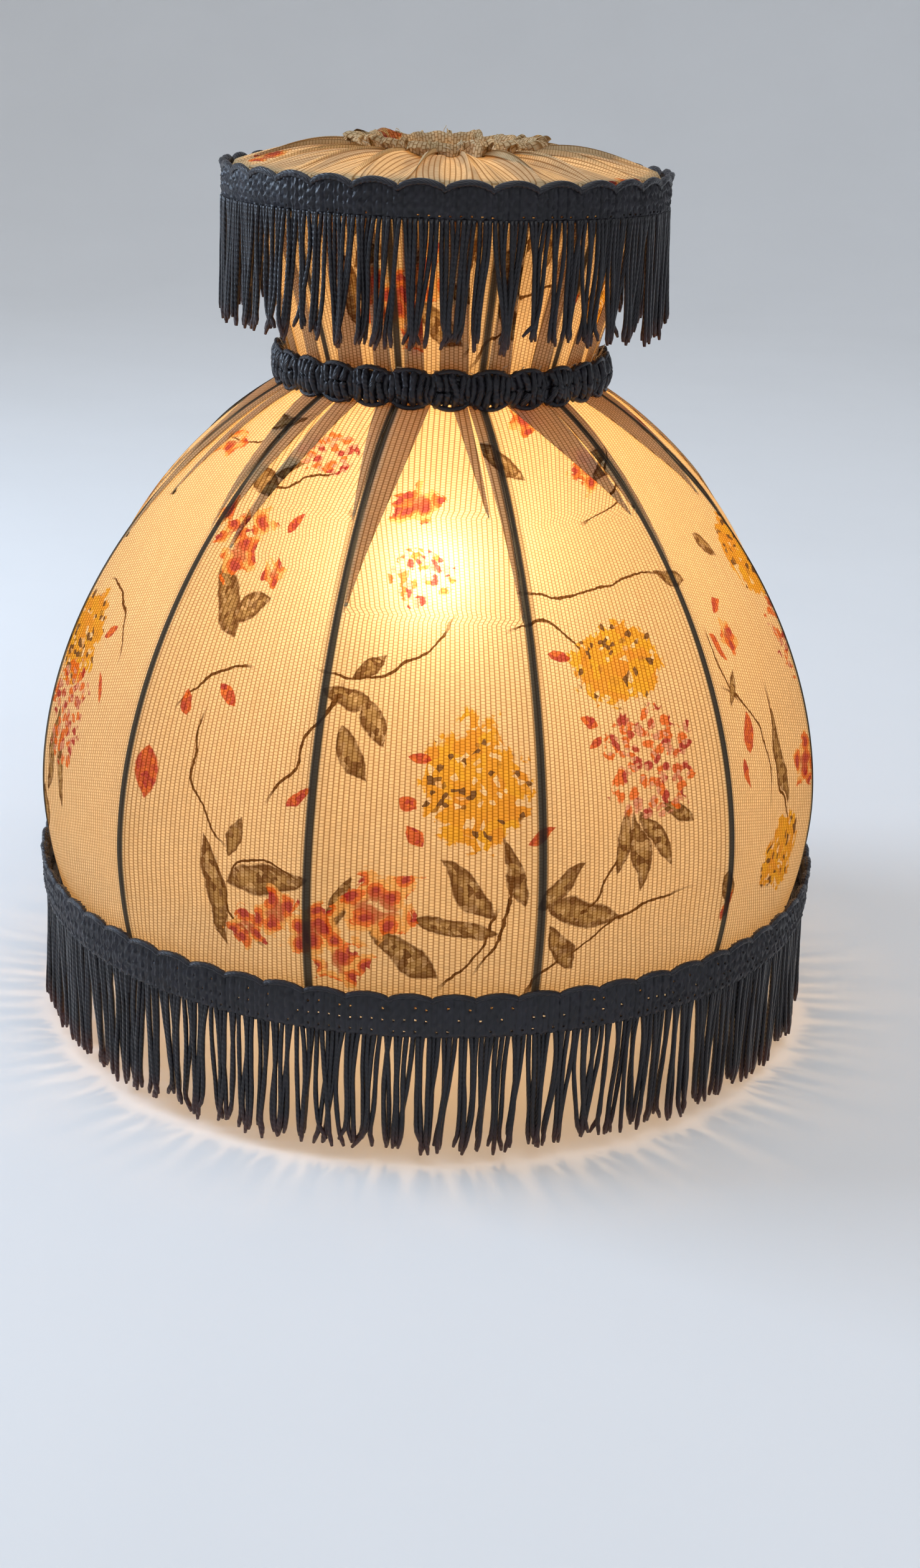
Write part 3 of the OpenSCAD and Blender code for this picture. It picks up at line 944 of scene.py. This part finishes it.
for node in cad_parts:
    if node.endswith("_tape"):
        repaint(node, tape_material)
    elif node.startswith("fitter"):
        repaint(node, brass_material)
    elif "rib" in node or node.endswith("_ring"):
        repaint(node, wire_material)


def dress(piece, new, slot, *nodes):
    """Puts a finished piece in the frame in the place of plain nodes."""
    piece.data.materials.clear()
    piece.data.materials.append(new)
    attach(piece, "root")
    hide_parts(*nodes)


# ---------------------------------------------------------------- the cloth

CROWN_PANEL_CLOTH = 60 * MM
DOME_ROWS = 90
dome_heights = hem_z + (dome_top - hem_z) * np.linspace(0, 1, DOME_ROWS)
risen = (dome_heights - hem_z) / (dome_top - hem_z)
# The rings hold the cloth round, and between them it runs flat from rib to rib
dome_flatness = smoothstep(risen, 0, 0.16) * smoothstep(1 - risen, 0, 0.12)

# The folds cover most of a panel at the waist, and run out where the dome has reached about
# three quarters of its width. spread is the way there: 0 at the waist and 1 where they end.
FOLDED_AT_WAIST = 0.74
FOLDS_END = 0.74
spread = (dome_radius(dome_heights) - waist_r) / (FOLDS_END * widest_r - waist_r)


def dome_folded(run_out):
    still_folded = (1 - np.clip(spread / run_out, 0, 1)) ** 1.15
    return FOLDED_AT_WAIST * np.where(risen > 0.4, still_folded, 0)


# Each panel's pleats, from its left rib: shares of the single cloth, then of the folds.
# A fold below zero lies to the left, one above zero to the right.
DOME_PLEATS = [
    ((0.03, 0.90, 0.04), (0.55, -0.45)),
    ((0.62, 0.03), (-1.0,)),
    ((0.03, 0.80, 0.10, 0.03), (0.35, -0.35, -0.30)),
    ((0.03, 0.93, 0.04), (0.30, -0.70)),
    ((0.04, 0.10, 0.83, 0.03), (0.30, 0.35, -0.35)),
    ((0.90, 0.06), (-1.0,)),
    ((0.03, 0.12, 0.80, 0.05), (0.28, 0.30, -0.42)),
    ((0.03, 0.14, 0.78, 0.05), (0.34, 0.36, -0.30)),
    ((0.03, 0.86, 0.09, 0.02), (0.54, -0.23, -0.23)),
    ((0.93, 0.05, 0.02), (-0.75, -0.25)),
    ((0.03, 0.88, 0.08), (0.22, -0.78)),
    ((0.03, 0.94, 0.03), (0.42, -0.58)),
]
CROWN_PLEATS = [
    ((0.15, 0.60, 0.25), (0.5, -0.5)),
    ((0.45, 0.35, 0.20), (-0.6, -0.4)),
    ((0.20, 0.40, 0.40), (0.4, 0.6)),
]

dome = pleated_cover("dome_cloth", dome_heights, dome_radius, dome_folded, PANEL_PRINT, DOME_PLEATS,
                     dome_flatness, 0.5 * MM, 3)
dress(dome, cloth_material, "printed_cloth", "dome_cover")

crown_risen = np.linspace(0, 1, 30)
crown_heights = crown_low + (crown_top - 0.5 * MM - crown_low) * crown_risen
crown_chord = 2 * crown_radius(crown_heights) * math.sin(PANEL_ANGLE / 2)


def crown_folded(run_out):
    """The cloth's width beyond the panel's lies in folds, which take two layers of it each."""
    return (CROWN_PANEL_CLOTH / crown_chord - 1) / 2


crown = pleated_cover("crown_cloth", crown_heights, crown_radius, crown_folded, PANEL_PRINT, CROWN_PLEATS,
                      0.6 * np.sin(math.pi * crown_risen), 0.5 * MM, 5)
dress(crown, cloth_material, "printed_cloth", "crown_cover")

top_low, top_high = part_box("top_cover")
opening_r = reach("gather_cord")[0] - 1.0 * MM
opening_z = middle("gather_cord").z
top = gathered_top("top_cloth", top_high.x + 1.6 * MM, top_low.z + 0.4 * MM, opening_r, opening_z,
                   top_high.z - opening_z + 3 * MM, TOP_PRINT, 7)
dress(top, top_material, "printed_cloth", "top_cover")

# ---------------------------------------------------------------- the trims


def fringed_trim(part, scallops, rise, edge_width, edge_lift, holes, relief, cords, cord_width, gather,
                 seed):
    """Puts a corded fringe in the place of its two plain nodes.

    It has an openwork heading, a cord along the heading's scalloped edge, and the strands."""
    braid_node, fringe_node = part + "_braid", part + "_fringe"
    low, high = (corner.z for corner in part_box(braid_node))
    outer_r = reach(braid_node)[0]
    band = openwork_band(part + "_heading", outer_r - 1.2 * MM, low, high, scallops, rise, cords // 2,
                         holes, relief, seed)
    dress(band, braid_material, "trim", braid_node)
    edge = scallop_cord(part + "_scallop_cord", outer_r - 1.0 * MM, high + edge_lift, scallops, rise,
                        edge_width, seed + 1)
    dress(edge, braid_material, "trim", braid_node)
    low, high = (corner.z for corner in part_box(fringe_node))
    strands = fringe(part + "_strands", cords, sum(reach(fringe_node)) / 2, high + 1.5 * MM, high - low,
                     cord_width, gather, seed + 2)
    dress(strands, fringe_material, "trim", fringe_node)


fringed_trim("hem", scallops=65, rise=2.0 * MM, edge_width=2.0 * MM, edge_lift=0.6 * MM,
             holes={2: 0.8, 7: 0.55, 12: 0.35}, relief=1.0 * MM, cords=520, cord_width=1.75 * MM,
             gather=0.9, seed=11)
fringed_trim("crown", scallops=32, rise=2.6 * MM, edge_width=2.3 * MM, edge_lift=0.8 * MM,
             holes={2: 0.7}, relief=1.1 * MM, cords=288, cord_width=1.6 * MM, gather=1.35, seed=21)

waist_low, waist_high = (corner.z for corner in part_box("waist_braid"))
WAIST_SCALLOPS, CORDS_EACH = 27, 6
waist_cords = puckered_braid("waist_cords", reach("waist_braid")[0] - 2.6 * MM, waist_low, waist_high,
                             WAIST_SCALLOPS, CORDS_EACH, 31)
dress(waist_cords, braid_material, "trim", "waist_braid")

threads = loose_threads("loose_threads", [
    (34, opening_r + 4 * MM, top_high.z, 4 * MM, 0.5),
    (3, opening_r + 4 * MM, top_high.z - 1 * MM, 13 * MM, 0.25),
    (70, waist_r + 3.0 * MM, waist_high - 1.5 * MM, 5 * MM, 0.45),
], 41)
dress(threads, thread_material, "printed_cloth", "top_cover")
repaint("gather_cord", thread_material)

# ---------------------------------------------------------------- stage, lights, camera


def round_stage(name, radius, height, bend, z):
    """A round floor that curves up into a wall on every side."""
    turn = np.linspace(0, math.pi / 2, 17)
    r = np.concatenate([[0], radius - bend + bend * np.sin(turn), [radius]])[:, None]
    up = np.concatenate([[z], z + bend - bend * np.cos(turn), [z + height]])[:, None]
    points = around(TURN * np.arange(120) / 120, r, up)
    return new_object(name, points.reshape(-1, 3), grid_faces(len(r), 120, wrap=True))


def floor_paint(n):
    place = n.object_place()
    colour = n.mix(n.noise(place, 6.0, 3.0), (0.76, 0.76, 0.76), (0.80, 0.80, 0.80))
    return n.node("BsdfDiffuse", {"Color": colour, "Roughness": 0.4}).outputs[0]


def put_light(name, kind, energy, colour, place, size, aim=None):
    light = bpy.data.lights.new(name, kind)
    light.energy = energy
    light.color = colour
    if kind == "AREA":
        light.size = size
    else:
        light.shadow_soft_size = size
    held = bpy.data.objects.new(name, light)
    held.location = place
    if aim is not None:
        held.rotation_euler = (Vector(aim) - Vector(place)).to_track_quat("-Z", "Y").to_euler()
    bpy.context.scene.collection.objects.link(held)


# The floor lies just under the lowest strands, which hang a little below their plain node
FLOOR_GAP = 3 * MM
stage = round_stage("floor", 3.5, 4.5, 1.5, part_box("hem_fringe")[0].z - FLOOR_GAP)
stage.data.materials.append(material("floor", floor_paint))

# Warm bulb light inside the shade, as the photograph has it, and soft studio light around it
WARM = (1.0, 0.60, 0.26)
put_light("bulb", "POINT", 0.66, WARM, (0, -10 * MM, 88 * MM), 24 * MM)
put_light("bulb_glow", "POINT", 0.10, (1.0, 0.80, 0.56), (0, -92 * MM, 107 * MM), 6 * MM)
put_light("crown_glow", "POINT", 0.16, WARM, (0, 0, 190 * MM), 20 * MM)
put_light("side_light", "AREA", 13.0, (0.62, 0.78, 1.0), (-1.1, 0.15, 0.6), 0.6, (0, 0, 0.08))
put_light("fill_light", "AREA", 9.0, (0.95, 0.97, 1.0), (0.6, -1.3, 1.9), 1.8, (0, 0, 0.08))
put_light("overhead_light", "AREA", 52.0, (0.93, 0.96, 1.0), (0, 0, 3.4), 3.2, (0, 0, 0))

world = bpy.data.worlds.new("studio")
bpy.context.scene.world = world
world.use_nodes = True
world.node_tree.nodes["Background"].inputs[0].default_value = (0.85, 0.91, 1.0, 1)
world.node_tree.nodes["Background"].inputs[1].default_value = 0.3
bpy.context.scene.view_settings.view_transform = "Standard"

# The photograph's camera, fitted to the shade's outlines and ribs
CAMERA_DISTANCE = 0.759
CAMERA_AZIMUTH = math.radians(1.55)
CAMERA_HEIGHT = 0.285
CAMERA_ASIDE = -0.0183
CAMERA_YAW = math.radians(2.3)
CAMERA_PITCH = math.radians(20.3)
CAMERA_ROLL = math.radians(2.0)
camera_data = bpy.data.cameras.new("camera")
camera_data.sensor_fit = "VERTICAL"
camera_data.sensor_height = 24
camera_data.lens = 31.5
camera = bpy.data.objects.new("camera", camera_data)
bpy.context.scene.collection.objects.link(camera)
bpy.context.scene.camera = camera
spin = Matrix.Rotation(CAMERA_AZIMUTH, 4, "Z")
place = Matrix.Translation((CAMERA_ASIDE, -CAMERA_DISTANCE, CAMERA_HEIGHT))
aim = Matrix.Rotation(-CAMERA_YAW, 4, "Z") @ Matrix.Rotation(math.pi / 2 - CAMERA_PITCH, 4, "X")
camera.matrix_world = spin @ place @ aim @ Matrix.Rotation(CAMERA_ROLL, 4, "Z")
